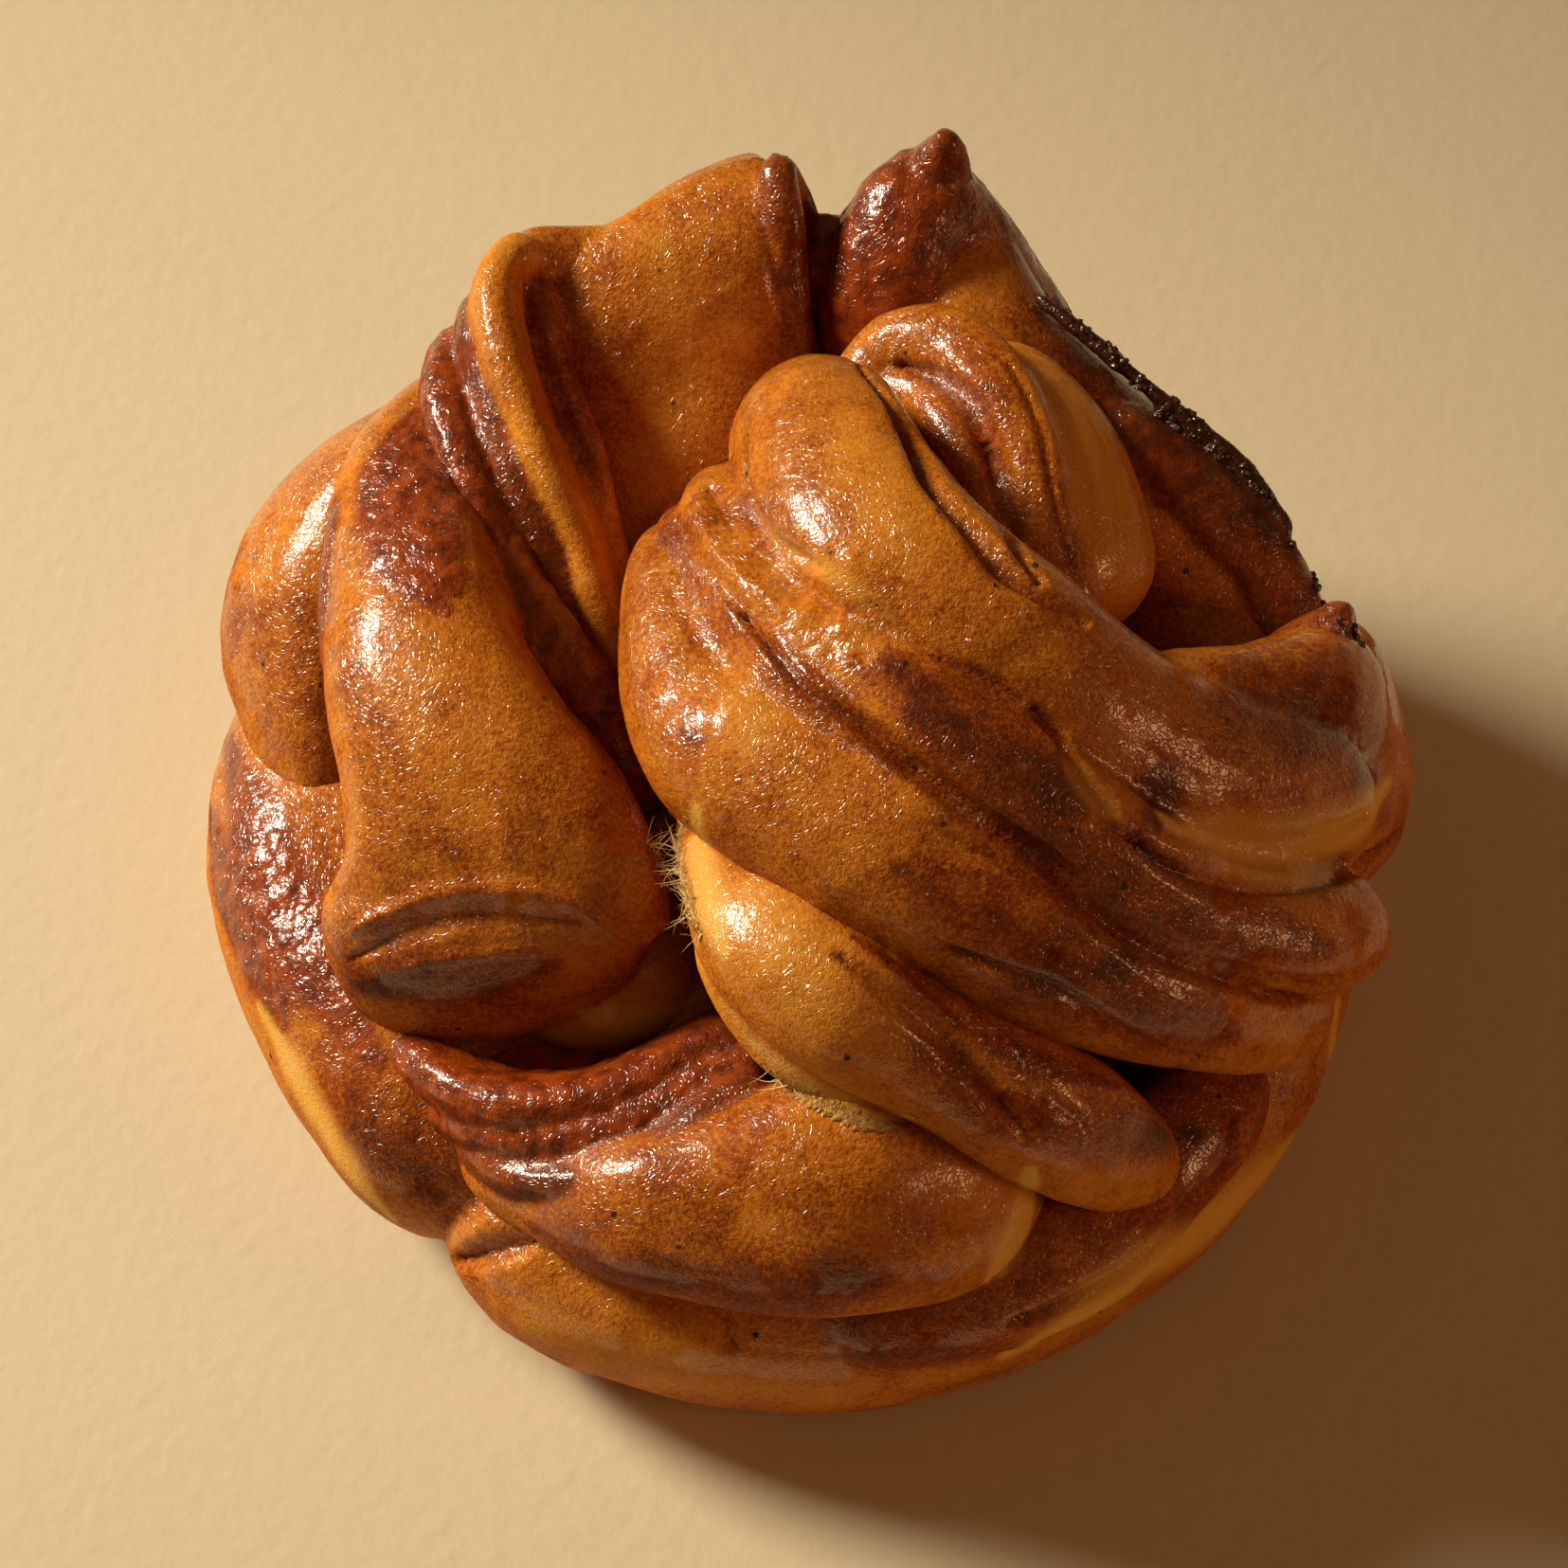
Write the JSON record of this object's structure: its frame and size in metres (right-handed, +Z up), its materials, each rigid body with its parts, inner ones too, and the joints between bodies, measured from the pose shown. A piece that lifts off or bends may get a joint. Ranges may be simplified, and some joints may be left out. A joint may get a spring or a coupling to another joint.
{
  "type": "braided cinnamon roll",
  "caption": "Round knot of plaited, layered yeast dough with a glossy brown crust and dark spiced filling on the cut edges of its folds.",
  "frame": {"origin": "centre of the footprint's box, on the surface the roll stands on", "axes": "+Z up; the pictured side faces -Y, and +X is to its right"},
  "size_m": [0.1058, 0.1033, 0.064],
  "materials": {
    "crust": "egg-washed baked crust, golden brown with darker ridges, glossy in patches",
    "filling": "dark, syrupy baked sugar and cinnamon, bumpy and shiny",
    "crumb": "pale, matt torn dough"
  },
  "bodies": {
    "root": {"braided_roll": "crust"}
  },
  "joints": []
}
